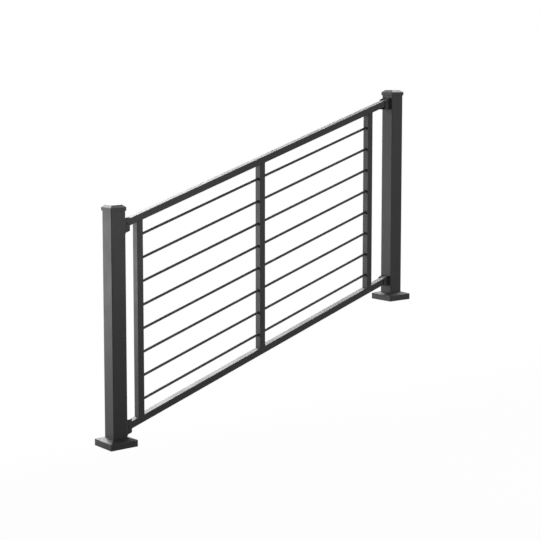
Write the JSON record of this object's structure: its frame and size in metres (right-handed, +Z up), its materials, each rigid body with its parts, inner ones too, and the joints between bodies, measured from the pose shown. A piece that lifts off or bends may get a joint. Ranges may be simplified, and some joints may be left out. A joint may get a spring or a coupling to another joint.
{
  "type": "raked deck railing section",
  "caption": "Raked stair railing section: square capped posts on bolted feet, with sloping rails, uprights and round rods between them.",
  "frame": {"origin": "middle of the flat underside of the lower post's foot plate", "axes": "+Z up, +X level from the lower post towards the upper post, +Y across the section, away from the picture's viewer"},
  "size_m": [1.879, 0.144, 1.6243],
  "materials": {
    "powder_coated_steel": "satin"
  },
  "bodies": {
    "root": {"lower_post_base_plate": "powder_coated_steel", "lower_post": "powder_coated_steel", "lower_post_base_cover": "powder_coated_steel", "lower_post_cap": "powder_coated_steel", "upper_post_base_plate": "powder_coated_steel", "upper_post": "powder_coated_steel", "upper_post_base_cover": "powder_coated_steel", "upper_post_cap": "powder_coated_steel", "top_rail": "powder_coated_steel", "bottom_rail": "powder_coated_steel", "lower_end_upright": "powder_coated_steel", "middle_upright": "powder_coated_steel", "upper_end_upright": "powder_coated_steel", "rod_1": "powder_coated_steel", "rod_2": "powder_coated_steel", "rod_3": "powder_coated_steel", "rod_4": "powder_coated_steel", "rod_5": "powder_coated_steel", "rod_6": "powder_coated_steel", "rod_7": "powder_coated_steel", "rod_8": "powder_coated_steel", "lower_top_bracket": "powder_coated_steel", "lower_bottom_bracket": "powder_coated_steel", "upper_top_bracket": "powder_coated_steel", "upper_bottom_bracket": "powder_coated_steel"}
  },
  "joints": []
}
